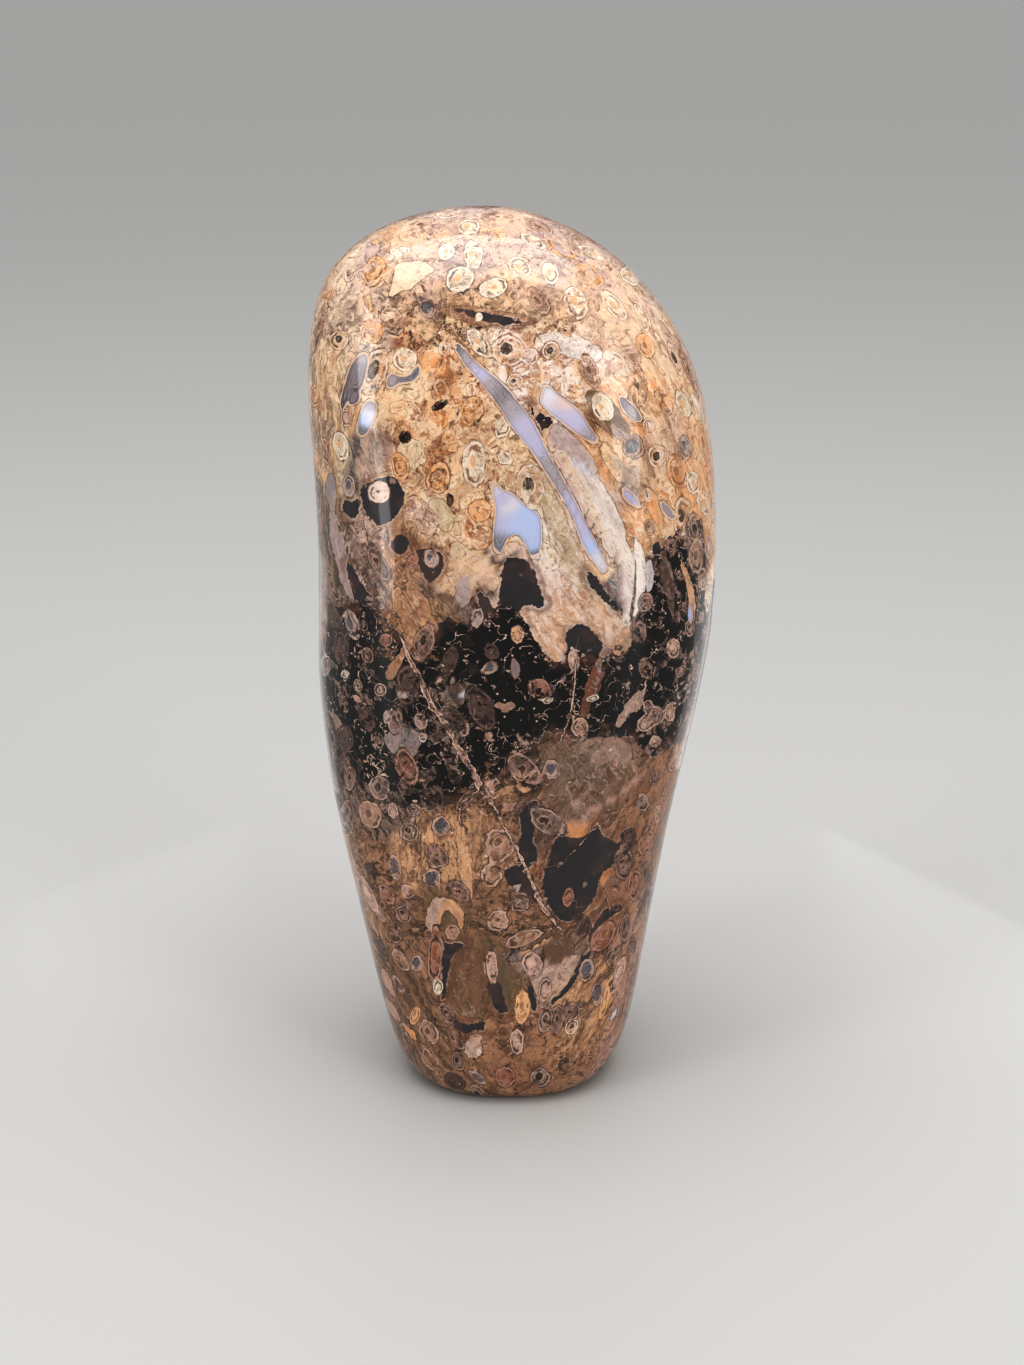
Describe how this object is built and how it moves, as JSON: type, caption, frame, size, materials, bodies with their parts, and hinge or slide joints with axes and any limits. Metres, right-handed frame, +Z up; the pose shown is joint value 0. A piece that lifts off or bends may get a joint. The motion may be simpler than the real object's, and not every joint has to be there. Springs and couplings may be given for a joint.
{
  "type": "petrified palm wood freeform",
  "caption": "Upright rounded freeform of polished petrified palm wood, cut flat at the foot so that it stands on its own.",
  "frame": {"origin": "middle of the flat cut foot, at the level that the stone stands on", "axes": "+Z up from the foot to the crown, -Y out of the broad front face, +X to the right as the front face is seen"},
  "size_m": [0.0669, 0.0501, 0.15],
  "materials": {
    "polished_palm_stone": "high polish, brown, cream, black and blue-grey agatized palm root"
  },
  "bodies": {
    "root": {"stone": "polished_palm_stone"}
  },
  "joints": []
}
